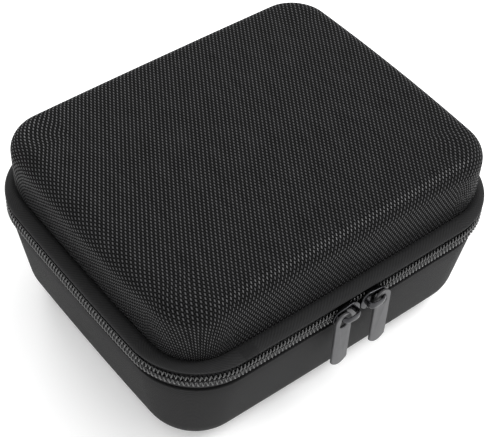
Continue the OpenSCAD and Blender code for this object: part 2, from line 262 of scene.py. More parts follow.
def select_all(kind):
    """In edit mode, selects everything, as vertices or as faces."""
    bpy.ops.mesh.select_mode(type=kind)
    bpy.ops.mesh.select_all(action="SELECT")


def extrude(*vector):
    """Extrudes what is selected."""
    bpy.ops.mesh.extrude_region_move(TRANSFORM_OT_translate={"value": vector})


def open_rim(edge):
    """Whether an edge borders one face only."""
    return len(edge.link_faces) == 1


def coordinates(piece):
    """The piece's points as an array."""
    co = np.empty(len(piece.data.vertices) * 3)
    piece.data.vertices.foreach_get("co", co)
    return co.reshape(-1, 3)


def place(piece, co):
    """Moves the piece's points to an array of places."""
    piece.data.vertices.foreach_set("co", np.asarray(co, float).ravel())
    piece.data.update()


def ring_start(name, points, closed=True):
    """Adds a circle with one vertex for each point, shaped to them. An open line loses an edge."""
    deselect()
    bpy.ops.mesh.primitive_circle_add(vertices=len(points), radius=MM)
    piece = named(name)
    place(piece, points)
    edit()
    if not closed:
        ends = {0, len(points) - 1}
        pick(piece, "EDGE", lambda edge: {v.index for v in edge.verts} == ends)
        bpy.ops.mesh.delete(type="EDGE_FACE")
    select_all("VERT")
    return piece


def run(vector, steps):
    """Extrudes the selected line along a straight side."""
    for _ in range(steps):
        extrude(*(part / steps for part in vector))


def cap_ends(piece, axis=0):
    """Closes both open ends of a run, which lie apart along the axis, with a face."""
    cage = bmesh.from_edit_mesh(piece.data)
    cage.edges.index_update()
    rims = [edge for edge in cage.edges if open_rim(edge)]
    middle = sum(edge.verts[0].co[axis] for edge in rims) / len(rims)
    ends = [set(), set()]
    for edge in rims:
        ends[edge.verts[0].co[axis] > middle].add(edge.index)
    for end in ends:
        pick(piece, "EDGE", lambda edge: edge.index in end)
        bpy.ops.mesh.edge_face_add()


def outwards(piece=None):
    """Turns all faces of this piece, or of the one in edit mode, outwards; ends in object mode."""
    if piece:
        edit(piece)
    select_all("FACE")
    bpy.ops.mesh.normals_make_consistent(inside=False)
    bpy.ops.object.mode_set(mode="OBJECT")


def sweep(name, profile, rear_gap=0.0, closed=True):
    """Carries a profile of (inset, height) points round the case: extruded along the straight
    sides, spun at the corners. It starts and ends at the middle of the back or beside the gap."""
    case = settings().case
    x, y = corner_centre()
    start = rear_gap / 2
    piece = ring_start(name, [(start, case.half_depth - inset, z) for inset, z in profile], closed)
    rear = max(2, round(LONG_STEPS * (x - start) / x / 2))
    for vector, steps, centre in (((x - start, 0, 0), rear, (x, y, 0)),
                                  ((0, -2 * y, 0), SHORT_STEPS, (x, -y, 0)),
                                  ((-2 * x, 0, 0), LONG_STEPS, (-x, -y, 0)),
                                  ((0, 2 * y, 0), SHORT_STEPS, (-x, y, 0))):
        run(vector, steps)
        bpy.ops.mesh.spin(steps=case.corner_steps, angle=math.pi / 2, center=centre, axis=(0, 0, 1))
    run((x - start, 0, 0), rear)
    select_all("VERT")
    bpy.ops.mesh.remove_doubles(threshold=HAIR)
    if rear_gap:
        cap_ends(piece)
    return piece


def finish_shell(piece, middles):
    """Fills a swept shell's flat middles, at these heights, with grids and turns it outwards."""
    for height in middles:
        pick(piece, "EDGE",
             lambda edge: open_rim(edge) and abs(edge.verts[0].co.z - height) < 0.01 * MM)
        bpy.ops.mesh.fill_grid()
    outwards()


def oval(centre, wide, high, sides, power=1.0):
    """Points round an oval with these two half axes. A power below 1 squares it off."""
    def bulge(part):
        return math.copysign(abs(part) ** power, part)
    angles = [2 * math.pi * k / sides for k in range(sides)]
    return [centre + wide * bulge(math.cos(a)) + high * bulge(math.sin(a)) for a in angles]


def tube(name, rings):
    """Extrudes a ring of points from station to station, and stays in edit mode."""
    piece = ring_start(name, rings[0])
    for ring in rings[1:]:
        extrude(0, 0, MM)
        cage = bmesh.from_edit_mesh(piece.data)
        moved = sorted((v for v in cage.verts if v.select), key=lambda v: v.index)
        for vertex, point in zip(moved, ring):
            vertex.co = point
        bmesh.update_edit_mesh(piece.data)
    return piece


def loft(name, rings):
    """A tube with both its ends closed."""
    piece = tube(name, rings)
    cage = bmesh.from_edit_mesh(piece.data)
    cage.verts.index_update()
    count = len(rings[0])
    for low in (0, len(cage.verts) - count):
        pick(piece, "EDGE", lambda edge: open_rim(edge) and all(
            low <= v.index < low + count for v in edge.verts))
        bpy.ops.mesh.edge_face_add()
    outwards()
    return piece


def bar(name, ring, vector, steps, axis, flat, shape):
    """Extrudes a ring along an axis and caps it. flat gives its UV map, shape its last form."""
    piece = ring_start(name, ring)
    run(vector, steps)
    cap_ends(piece, axis)
    outwards()
    co = coordinates(piece)
    set_uv(piece, flat(co))
    place(piece, shape(co))
    return piece


def apply(piece, kind, **values):
    """Adds a modifier with these values and applies it."""
    activate(piece)
    modifier = piece.modifiers.new(kind.title(), kind)
    for key, value in values.items():
        setattr(modifier, key, value)
    bpy.ops.object.modifier_apply(modifier=modifier.name)


def repeat(piece, count, step, **values):
    """Copies the piece along X."""
    apply(piece, "ARRAY", count=count, use_relative_offset=False, use_constant_offset=True,
          constant_offset_displace=(step, 0, 0), **values)


def combine(kind, piece, *tools):
    """Joins tools to the piece, or cuts them out of it, and removes them."""
    for tool in tools:
        apply(piece, "BOOLEAN", operation=kind, object=tool, solver="EXACT")
        bpy.data.objects.remove(tool)
    return piece


def join(name, *pieces):
    """Makes one object of several."""
    activate(*pieces)
    bpy.ops.object.join()
    pieces[0].name = pieces[0].data.name = name
    return pieces[0]


def mirrored(piece, name):
    """A copy of the piece on the other side of the case, with a mesh of its own."""
    activate(piece)
    bpy.ops.object.duplicate()
    bpy.context.object.scale.x = -1
    copy = named(name)
    outwards(copy)
    return copy


# ---- The case's outline ----

def corner_centre():
    """X and Y of the centre of the outline's rear right corner."""
    case = settings().case
    return case.half_length - case.corner_radius, case.half_depth - case.corner_radius


def seam():
    """Inset of the seam where tape and hinge leave the base, behind its cover."""
    case = settings().case
    return case.base_inset + case.cover + case.glue


def layer_depths():
    """Depths of the foam's outside, the lining's outside and the lining's inside in a shell."""
    case = settings().case
    core = case.cover + case.glue
    lining = core + case.core + case.glue
    return core, lining, lining + case.lining


def in_mm(points):
    """A line drawn in millimetres, in metres."""
    return [(inset * MM, height * MM) for inset, height in points]


def arc(centre, radius, start, end, steps=12):
    """Points of an arc, in degrees."""
    angles = [math.radians(start + (end - start) * i / steps) for i in range(steps + 1)]
    return [(centre[0] + radius * math.cos(a), centre[1] + radius * math.sin(a)) for a in angles]


def base_line(depth, top):
    """The base's surface at a depth below its outside, as (inset, height) from the middle up."""
    case = settings().case
    straight = RIM - 4 * MM
    draft = math.atan(case.base_draft / straight)
    fillet = case.base_fillet
    wall = case.corner_radius - case.base_inset
    centre = wall - case.base_draft - fillet * (1 - math.sin(draft)) / math.cos(draft)
    points = [(0, depth)] + arc((centre, fillet), fillet - depth, -90, -math.degrees(draft))
    bend = straight * (1 + depth * (1 / math.cos(draft) - 1) / case.base_draft)
    points += [(wall - depth, bend), (wall - depth, top)]
    return [(case.corner_radius - radius, z) for radius, z in points]


def lid_line(depth, bottom):
    """The lid's surface at a depth below its outside, as (inset, height) from the middle down."""
    case = settings().case
    wall, fillet = case.corner_radius - case.flange_width, case.lid_fillet
    points = [(0, TOP - depth)] + arc((wall - fillet, TOP - fillet), fillet - depth, 90, 0)
    points += [(wall - depth, bottom + 4 * MM), (wall - depth, bottom)]
    return [(case.corner_radius - radius, z) for radius, z in points]


def girth(inset, rear_gap=0.0):
    """Length of the outline at an inset, but for the rear gap."""
    x, y = corner_centre()
    return 4 * (x + y) + 2 * math.pi * (settings().case.corner_radius - inset) - rear_gap


def lay_out(co, distance, inset, rear_gap=0.0):
    """Lays a straight row whose y points outwards along the outline, at distances along it,
    clockwise from the rear gap."""
    cx, cy = corner_centre()
    radius = settings().case.corner_radius - inset
    rear, quarter = cx - rear_gap / 2, math.pi / 2 * radius
    # Start, outward direction in degrees, length, and whether it turns
    stretches = [(rear_gap / 2, cy, 90, rear, 0), (cx, cy, 90, quarter, 1),
                 (cx, cy, 0, 2 * cy, 0), (cx, -cy, 0, quarter, 1),
                 (cx, -cy, -90, 2 * cx, 0), (-cx, -cy, -90, quarter, 1),
                 (-cx, -cy, 180, 2 * cy, 0), (-cx, cy, 180, quarter, 1), (-cx, cy, 90, rear, 0)]
    laid, begun = co.copy(), 0.0
    for number, (x, y, degrees, size, turns) in enumerate(stretches):
        here = (distance >= begun) | (number == 0)
        step = distance[here] - begun
        angle = math.radians(degrees) - turns * step / radius
        out, ahead = radius + co[here, 1], (1 - turns) * step
        laid[here, 0] = x + out * np.cos(angle) + ahead * np.sin(angle)
        laid[here, 1] = y + out * np.sin(angle) - ahead * np.cos(angle)
        begun += size
    return laid


def bow(co):
    """Draws the corners in, so that the straight sides bow out between them."""
    case = settings().case
    x, y = co[:, 0].copy(), co[:, 1].copy()
    co[:, 0] = x * (1 - case.end_bow / case.half_length * (y / case.half_depth) ** 2)
    co[:, 1] = y * (1 - case.side_bow / case.half_depth * (x / case.half_length) ** 2)
    return co


def tighten(co):
    """Tightens the lid wall's corners inside the flange's, fading out towards the flange."""
    case = settings().case
    cx, cy = corner_centre()
    wall = case.corner_radius - case.flange_width
    shift = wall - case.lid_corner
    dx, dy = np.abs(co[:, 0]) - cx, np.abs(co[:, 1]) - cy
    reach = np.hypot(dx, dy)
    turning = (dx > 0) & (dy > 0) & (reach > 0)
    cos, sin = dx[turning] / reach[turning], dy[turning] / reach[turning]
    straight = wall / np.maximum(cos, sin)
    both = shift * (cos + sin)
    arched = both + np.sqrt(both ** 2 - 2 * shift ** 2 + case.lid_corner ** 2)
    tight = np.where(straight * np.minimum(cos, sin) < shift, straight, arched)
    across = np.clip((case.corner_radius - reach[turning]) / case.flange_width, 0, 1)
    fade = 2.2 * MM
    up = np.clip((co[turning, 2] - CREASE + fade) / fade, 0, 1)
    scale = 1 + (tight / wall - 1) * across * up
    co[turning, 0] = np.sign(co[turning, 0]) * (cx + dx[turning] * scale)
    co[turning, 1] = np.sign(co[turning, 1]) * (cy + dy[turning] * scale)


def shape_lid(co):
    """Tightens the lid's corners, bulges its end walls, domes its top and bows its sides."""
    case = settings().case
    tighten(co)
    half_x, half_y = case.half_length - case.flange_width, case.half_depth - case.flange_width
    flat_x, flat_y = (1 - np.clip((co[:, k] / half) ** 2, 0, 1) for k, half in
                      ((0, half_x), (1, half_y)))
    rise = np.clip((co[:, 2] - CREASE + 1.2 * MM) / (6 * MM), 0, 1)
    height = np.clip((co[:, 2] - CREASE) / (TOP - CREASE), 0, 1)
    end = np.sign(co[:, 0]) * np.clip(np.abs(co[:, 0]) / half_x, 0, 1) ** 8
    co[:, 0] += case.end_bulge * flat_y * rise * end
    co[:, 2] -= case.lid_crown * height ** 2 * (1 - flat_x * flat_y)
    return bow(co)


def set_uv(piece, flat):
    """Writes one UV for each vertex."""
    layer = piece.data.uv_layers.get("Weave") or piece.data.uv_layers.new(name="Weave")
    corner = np.empty(len(piece.data.loops), np.int32)
    piece.data.loops.foreach_get("vertex_index", corner)
    layer.data.foreach_set("uv", flat[corner].astype(np.float32).ravel())


def from_heart(co):
    """The nearest points of the rectangle between the corners' centres, the ways from them to
    the piece's points, and how long those are."""
    heart = np.clip(co[:, :2], [-part for part in corner_centre()], corner_centre())
    away = co[:, :2] - heart
    return heart, away, np.hypot(*away.T)


def unroll(piece, profile):
    """Gives a swept shell a UV map in metres that runs flat over its middle and down its walls."""
    case = settings().case
    line = np.array([(case.corner_radius - inset, z) for inset, z in profile])
    steps = np.concatenate([[0], np.cumsum(np.hypot(*np.diff(line, axis=0).T))])
    co = coordinates(piece)
    heart, away, reach = from_heart(co)
    gap = (reach[:, None] - line[None, :, 0]) ** 2 + (co[:, 2][:, None] - line[None, :, 1]) ** 2
    spread = steps[np.argmin(gap, 1)][:, None]
    set_uv(piece, heart + away / np.maximum(reach, 1e-9)[:, None] * spread)


def strip_uv(piece):
    """Gives a narrow band a UV map in metres: along the case's outline, and across the band."""
    radius = settings().case.corner_radius
    co = coordinates(piece)
    heart, away, reach = from_heart(co)
    angle = np.arctan2(away[:, 0], away[:, 1])
    along = heart[:, 0] * np.cos(angle) - heart[:, 1] * np.sin(angle) + angle * radius
    set_uv(piece, np.stack([along, co[:, 2] + radius - reach], 1))


# ---- Materials ----

def maths(operation, reflected=False):
    """A method that adds a Math node of this kind to the value's material."""
    def method(self, *others):
        terms = (*others, self) if reflected else (self, *others)
        return self.finish.node("Math", {"operation": operation}, dict(enumerate(terms)))
    return method


class Value:
    """A shader socket that takes part in expressions, which add their Math nodes."""

    def __init__(self, finish, socket):
        self.finish, self.socket = finish, socket

    __add__ = __radd__ = maths("ADD")
    __mul__ = __rmul__ = maths("MULTIPLY")
    __sub__, __rsub__ = maths("SUBTRACT"), maths("SUBTRACT", reflected=True)
    __pow__, __abs__ = maths("POWER"), maths("ABSOLUTE")
    sine, over = maths("SINE"), maths("MAXIMUM")

    def clamp(self):
        return self.finish.node("Clamp", None, {"Value": self})


class Finish:
    """A material being wired round one Principled shader."""

    def __init__(self, name):
        self.material = bpy.data.materials.new(name)
        self.material.use_nodes = True
        self.tree = self.material.node_tree
        self.tree.nodes.clear()

    def fill(self, sockets, inputs):
        """Links or sets sockets."""
        for key, value in inputs.items():
            if isinstance(value, Value):
                self.tree.links.new(value.socket, sockets[key])
            else:
                sockets[key].default_value = value

    def node(self, kind, settings=None, inputs=None, output=0):
        """Adds a node: its settings first, then the values or links of its sockets."""
        made = self.tree.nodes.new("ShaderNode" + kind)
        for key, value in (settings or {}).items():
            setattr(made, key, value)
        self.fill(made.inputs, inputs or {})
        return Value(self, made.outputs[output])

    def weave_map(self):
        """The piece's own UV map as two numbers in metres."""
        uv = self.node("UVMap", {"uv_map": "Weave"})
        return [self.node("SeparateXYZ", None, {0: uv}, part) for part in (0, 1)]

    def place(self):
        """Where the point lies in the piece, in metres."""
        return self.node("TexCoord", None, None, 3)

    def noise(self, size, detail=2.0, stretch=None):
        """Soft noise of a given size in metres, stretched along an axis where asked."""
        vector = self.place()
        if stretch:
            vector = self.node("Mapping", None, {"Vector": vector, "Scale": stretch})
        return self.node("TexNoise", None, {"Vector": vector, "Scale": 1 / size, "Detail": detail})

    def cells(self, size):
        """Cells of a given size in metres, dark in their middles."""
        return self.node("TexVoronoi", None, {"Vector": self.place(), "Scale": 1 / size})

    def mix(self, factor, first, second):
        """Mixes two colours."""
        colours = {6: (*first, 1), 7: (*second, 1)}
        return self.node("Mix", {"data_type": "RGBA"}, {0: factor, **colours}, 2)

    def shades(self, factor, colour, dark, light):
        """Mixes a darker and a lighter version of a colour."""
        return self.mix(factor, tint(colour, dark), tint(colour, light))

    def bump(self, height, distance, strength=1.0):
        """Raises the surface by a distance in metres where the height is 1."""
        return self.node("Bump", None, {"Height": height, "Distance": distance,
                                        "Strength": strength})

    def surface(self, **inputs):
        """Ends the material in a Principled shader with these sockets, named without spaces."""
        shader = self.tree.nodes.new("ShaderNodeBsdfPrincipled")
        self.fill({socket.name.replace(" ", ""): socket for socket in shader.inputs}, inputs)
        output = self.tree.nodes.new("ShaderNodeOutputMaterial")
        self.tree.links.new(shader.outputs[0], output.inputs["Surface"])
        return self.material


def tint(colour, factor):
    """A lighter or darker version of a colour."""
    return tuple(part * factor for part in colour)


def plain_weave(u, v, pitch_u, pitch_v, twist=0.0):
    """Heights, up to 1, of a plain weave's yarns along v and along u. Twist leans the first."""
    if twist:
        u = u + (v * (2 * math.pi / pitch_v)).sine() * twist
    su, sv = (u * (math.pi / pitch_u)).sine(), (v * (math.pi / pitch_v)).sine()
    return (abs(su) + su * sv) * 0.5, (abs(sv) - su * sv) * 0.5


def ballistic_nylon():
    """Coarse plain weave of the lid: rounded yarns, with a painted glint on their crowns and
    painted shade in the gaps between them.
    """
    look = settings().fabric
    finish = Finish("ballistic_nylon_weave")
    warp, weft = plain_weave(*finish.weave_map(), look.warp_pitch, look.weft_pitch, 0.09 * MM)
    height = warp.over(weft * 0.62)
    streaks = finish.noise(2.2 * MM, 3.0, stretch=(1.0, 0.22, 1.0))
    crown = ((warp - 0.42) * 1.9).clamp()
    # The colour's factor paints light: painted shade where the weave's height is low in the gaps,
    # and a painted glint on the warp crowns, both varied by random streaks.
    yarn = (height ** 2.0 * 0.5 + crown * 0.6) * (streaks * 1.3 + 0.35)
    return finish.surface(
        BaseColor=finish.mix(yarn.clamp(), look.lid_gap_shade, look.lid_yarn),
        Roughness=0.8 - crown * 0.2, SpecularIORLevel=0.03, CoatWeight=crown * 0.5,
        CoatRoughness=0.3, Normal=finish.bump(height, 0.3 * MM, 0.9))


def fine_fabric(name="fine_fabric_weave", light=1.0):
    """Smooth tightly woven fabric of the base, the flange and the hinge. A light above 1 paints a
    lighter copy of it, as painted light.
    """
    look = settings().fabric
    finish = Finish(name)
    u, v = finish.weave_map()
    warp, weft = plain_weave(u, v, look.fine_pitch, look.fine_pitch * 1.15)
    height = warp.over(weft)
    streaks = finish.noise(1.3 * MM, 3.0, stretch=(0.25, 1.0, 1.0))
    twill = ((u + v) * (2 * math.pi / (1.5 * MM))).sine() * 0.5 + 0.5
    threads = (height * 0.3 + streaks * 0.4 + twill * 0.4).clamp()
    return finish.surface(
        BaseColor=finish.shades(threads, tint(look.base_yarn, light), 0.4, 1.45),
        Roughness=0.72 - height * 0.12, SpecularIORLevel=0.1, SheenWeight=0.02,
        Normal=finish.bump(height + streaks * 0.3 + twill * 0.8, 0.07 * MM, 0.7))


def foam_core():
    """Dense moulded foam between the fabrics."""
    finish = Finish("shell_foam")
    cells = finish.cells(0.8 * MM)
    return finish.surface(
        BaseColor=finish.mix(cells, (0.006, 0.006, 0.006), (0.016, 0.016, 0.017)),
        Roughness=0.9, SpecularIORLevel=0.15, Normal=finish.bump(cells, 0.1 * MM, 0.6))


def lining_fabric():
    """Brushed knit of the lining."""
    finish = Finish("lining_knit")
    warp, weft = plain_weave(*finish.weave_map(), 0.7 * MM, 0.55 * MM, 0.05 * MM)
    fibres = finish.noise(0.5 * MM, 4.0)
    height = warp.over(weft) * 0.6 + fibres * 0.4
    return finish.surface(
        BaseColor=finish.shades(height.clamp(), settings().fabric.lining, 0.55, 1.3),
        Roughness=0.85, SpecularIORLevel=0.15, SheenWeight=0.08,
        Normal=finish.bump(height, 0.12 * MM, 0.6))


def ribbed_tape(name, pitch, roughness=0.7):
    """Narrow woven tape with ribs across it."""
    finish = Finish(name)
    u, v = finish.weave_map()
    ribs = abs((u * (math.pi / pitch)).sine())
    warp, weft = plain_weave(u, v, pitch, pitch * 0.8)
    height = ribs * 0.5 + warp.over(weft) * 0.5
    return finish.surface(
        BaseColor=finish.shades(height.clamp(), settings().fabric.tape, 0.5, 1.5),
        Roughness=roughness, SpecularIORLevel=0.12, Normal=finish.bump(height, 0.12 * MM, 0.8))


def coil_nylon():
    """Glossy black nylon monofilament."""
    finish = Finish("coil_nylon")
    cloud = finish.noise(0.9 * MM)
    return finish.surface(
        BaseColor=finish.shades(cloud, settings().fabric.coil, 0.7, 1.5),
        Roughness=0.16 + cloud * 0.12, SpecularIORLevel=0.95,
        Normal=finish.bump(cloud, 0.03 * MM, 0.4))


def insert_foam():
    """Cut closed-cell foam with fine pores."""
    finish = Finish("insert_foam")
    pores = finish.cells(0.6 * MM)
    cloud = finish.noise(9 * MM, 3.0)
    mottle = (pores * 0.7 + cloud * 0.4).clamp()
    return finish.surface(
        BaseColor=finish.shades(mottle, settings().fabric.foam, 0.55, 1.5), Roughness=0.92,
        SpecularIORLevel=0.15, SheenWeight=0.04, Normal=finish.bump(pores, 0.18 * MM, 0.7))


def net_yarn():
    """Matt twisted yarn of the mesh pocket and the stitches."""
    finish = Finish("net_yarn")
    twist = finish.noise(0.3 * MM)
    return finish.surface(
        BaseColor=finish.mix(twist, (0.006, 0.006, 0.006), (0.03, 0.03, 0.031)),
        Roughness=0.75, SpecularIORLevel=0.2, Normal=finish.bump(twist, 0.05 * MM, 0.6))


def slider_metal():
    """Polished black nickel, a little cloudy where fingers touch it."""
    look = settings().metal
    finish = Finish("black_nickel")
    cloud = finish.noise(2.5 * MM, 3.0)
    return finish.surface(
        BaseColor=finish.shades(cloud, look.slider, 0.7, 1.4), Metallic=1.0,
        Roughness=cloud * 0.12 + look.slider_roughness,
        Normal=finish.bump(finish.noise(0.7 * MM), 0.02 * MM, 0.25))


def tab_metal():
    """Satin gunmetal with fine lengthwise brushing."""
    look = settings().metal
    finish = Finish("satin_gunmetal")
    brushed = finish.noise(0.25 * MM, 3.0, stretch=(1.0, 1.0, 0.05))
    cloud = finish.noise(4 * MM)
    return finish.surface(
        BaseColor=finish.shades((brushed * 0.35 + cloud * 0.65).clamp(), look.tab, 0.8, 1.2),
        Metallic=1.0, Roughness=brushed * 0.14 + look.tab_roughness,
        Normal=finish.bump(brushed, 0.01 * MM, 0.4))


MAKERS = {
    "ballistic_nylon": ballistic_nylon, "fine_fabric": fine_fabric, "shell_foam": foam_core,
    "lining_fabric": lining_fabric, "zip_coil": coil_nylon, "insert_foam": insert_foam,
    "net": net_yarn, "slider_metal": slider_metal, "tab_metal": tab_metal,
    "binding_tape": lambda: ribbed_tape("binding_grosgrain", 0.9 * MM),
    "zip_tape": lambda: ribbed_tape("zip_tape_weave", 0.5 * MM, 0.6),
    "elastic": lambda: ribbed_tape("elastic_ribs", 1.1 * MM, 0.8),
}
_made = {}


def material(slot):
    """The finish of one of the record's material slots, made once."""
    if slot not in _made:
        _made[slot] = MAKERS[slot]()
    return _made[slot]


def dress(piece, slot, body=None, nodes=(), angle=35):
    """Shades the piece smooth, but for edges sharper than the angle, gives it its finish, lets
    it ride and hides the CAD nodes it stands for."""
    activate(piece)
    bpy.ops.object.shade_smooth_by_angle(angle=math.radians(angle))
    piece.data.materials.clear()
    piece.data.materials.append(material(slot))
    if body:
        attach(piece, body)
    if nodes:
        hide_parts(*nodes)
    return piece


# ---- Operators ----

class Step:
    """What every step of the build has in common."""

    bl_options = {"REGISTER", "UNDO"}


def shell(name, outer, inner, shape, slot, body, node):
    """One closed layer of a shell between two lines that run from its middle to its rim."""
    profile = outer + inner[::-1]
    piece = sweep(name, profile, closed=False)
    finish_shell(piece, (profile[0][1], profile[-1][1]))
    unroll(piece, profile)
    place(piece, shape(coordinates(piece)))
    dress(piece, slot, body, [node])


def band(name, profile, shape, slot, body, node, rear_gap=0.0):
    """A closed band round the case with a UV map along it."""
    piece = sweep(name, profile, rear_gap)
    outwards()
    strip_uv(piece)
    place(piece, shape(coordinates(piece)))
    return dress(piece, slot, body, [node])


def stitches(name, inset, height, side, shape, body):
    """A row of lockstitches round the case, on a tape where side is 1 and below it where -1."""
    rings = []
    for x, sink, radius in ((-1.15, 0.16, 0.03), (-0.9, 0.0, 0.17), (-0.3, -0.06, 0.2),
                            (0.3, -0.06, 0.2), (0.9, 0.0, 0.17), (1.15, 0.16, 0.03)):
        rings.append(oval(Vector((x, 0, -side * sink)) * MM, Vector((0, radius, 0)) * MM,
                          Vector((0, 0, side * radius)) * MM, 6))
    piece = loft(name, rings)
    total = girth(inset)
    count = round(total / STITCH)
    repeat(piece, count, total / count)
    co = coordinates(piece)
    co[:, 2] += height
    place(piece, shape(lay_out(co, co[:, 0] + total / count / 2, inset)))
    outwards(piece)
    dress(piece, "net", body, angle=80)


class HARDCASE_OT_base_shell(Step, bpy.types.Operator):
    """Model the base's cover, foam core, lining and binding"""

    bl_idname = "hardcase.base_shell"
    bl_label = "Base shell"

    def execute(self, context):
        case = settings().case
        core_depth, lining_depth, inside = layer_depths()
        rolled = [(case.base_inset - step * MM, RIM - down * MM) for step, down in
                  ((0.2, 0.85), (0.34, 0.65), (0.38, 0.45), (0.3, 0.2), (0.1, 0.04), (-0.3, 0))]
        shell("base_cover_fabric", base_line(0, RIM - MM) + rolled, base_line(case.cover, RIM),
              bow, "fine_fabric", "base", "base_cover")

        seat = seam() + settings().zip.tape + case.glue
        ledge, lip = RIM - 3.3 * MM, seat - 1.3 * MM
        shell("base_foam_core",
              base_line(core_depth, ledge) + [(seat, ledge), (seat, RIM), (lip, CORE_RIM)],
              base_line(core_depth + case.core, CORE_RIM), bow, "shell_foam", "base", "base_core")
        shell("base_lining_fabric", base_line(lining_depth, CORE_RIM), base_line(inside, CORE_RIM),
              bow, "lining_fabric", "base", "base_lining")

        leg = case.base_inset + inside + case.glue
        z, thick = CORE_RIM + case.glue, BINDING
        outer = lip + 0.15 * MM
        band("base_binding_tape", [
            (outer, z), (outer - 0.02 * MM, z + 0.3 * MM), (outer + 0.25 * MM, z + thick),
            (leg + thick - 0.35 * MM, z + thick), (leg + thick - 0.08 * MM, z + thick - 0.12 * MM),
            (leg + thick, z + thick - 0.4 * MM), (leg + thick, z - 4.9 * MM),
            (leg + thick / 2, z - 5 * MM), (leg, z - 4.9 * MM), (leg, z)],
            bow, "binding_tape", "base", "base_binding")
        stitches("base_binding_stitches", (outer + leg) / 2, z + thick, 1, bow, "base")
        return {"FINISHED"}


class HARDCASE_OT_lid_shell(Step, bpy.types.Operator):
    """Model the lid's cover, foam core, lining, binding and flange strip"""

    bl_idname = "hardcase.lid_shell"
    bl_label = "Lid shell"

    def execute(self, context):
        case = settings().case
        core_depth, lining_depth, inside = layer_depths()
        low = CREASE - 0.9 * MM
        shell("lid_cover_fabric", lid_line(0, low), lid_line(case.cover, low), shape_lid,
              "ballistic_nylon", "lid", "lid_cover")
        # Profiles as (inset, height) in millimetres: over the flange, and back beneath its fabric
        flange = [(6.93, 54.72), (6.6, 55.0), (6.2, 55.3), (5.65, 55.5), (5.0, 55.57),
                  (4.1, 55.52), (3.3, 55.38), (2.5, 55.2), (1.85, 54.95), (1.38, 54.62),
                  (1.1, 54.2), (1.02, 53.85), (1.12, 53.45), (1.45, 53.12), (1.95, 52.93),
                  (2.45, 52.91)]
        inner = [(2.45, 53.38), (2.1, 53.42), (1.8, 53.55), (1.56, 53.85), (1.6, 54.2),
                 (1.82, 54.45), (2.18, 54.7), (2.7, 54.9), (3.3, 55.03), (4.0, 55.1),
                 (4.9, 55.12), (5.6, 55.02), (6.2, 54.8), (6.93, 54.4)]
        strip = band("flange_fabric_strip", in_mm(flange + inner), shape_lid, "fine_fabric", "lid",
                     "flange_strip")
        # The flange strip gets the same fabric painted 1.5 times lighter: painted light on the
        # strip.
        strip.data.materials[0] = fine_fabric("flange_fabric_weave", 1.5)

        under = FLANGE_LOW.z + 0.57 * MM
        edge = in_mm([(7.75, 54.3), (6.4, 54.4), (5.2, 54.92), (4.1, 55.0), (3.2, 54.92),
                      (2.45, 54.65), (1.95, 54.3), (1.84, 54.0), (2.05, 53.68), (2.5, 53.5),
                      (11.15, 53.47)])
        shell("lid_foam_core", lid_line(core_depth, edge[0][1])[:-1] + edge,
              lid_line(core_depth + case.core, under), shape_lid, "shell_foam", "lid", "lid_core")
        shell("lid_lining_fabric", lid_line(lining_depth, under), lid_line(inside, under),
              shape_lid, "lining_fabric", "lid", "lid_lining")

        leg = case.flange_width + inside + case.glue
        z, thick, outer = FLANGE_LOW.z - 0.65 * MM, BINDING, 4.7 * MM
        band("lid_binding_tape", [
            (outer, z), (outer, z + 0.4 * MM), (outer + 0.15 * MM, z + thick), (leg, z + thick),
            (leg, z + 5.4 * MM), (leg + thick / 2, z + 5.5 * MM), (leg + thick, z + 5.4 * MM),
            (leg + thick, z + 0.4 * MM), (leg + thick - 0.12 * MM, z + 0.12 * MM),
            (leg + thick - 0.4 * MM, z)], shape_lid, "binding_tape", "lid", "lid_binding")
        stitches("lid_binding_stitches", (outer + leg) / 2, z, -1, shape_lid, "lid")
        return {"FINISHED"}


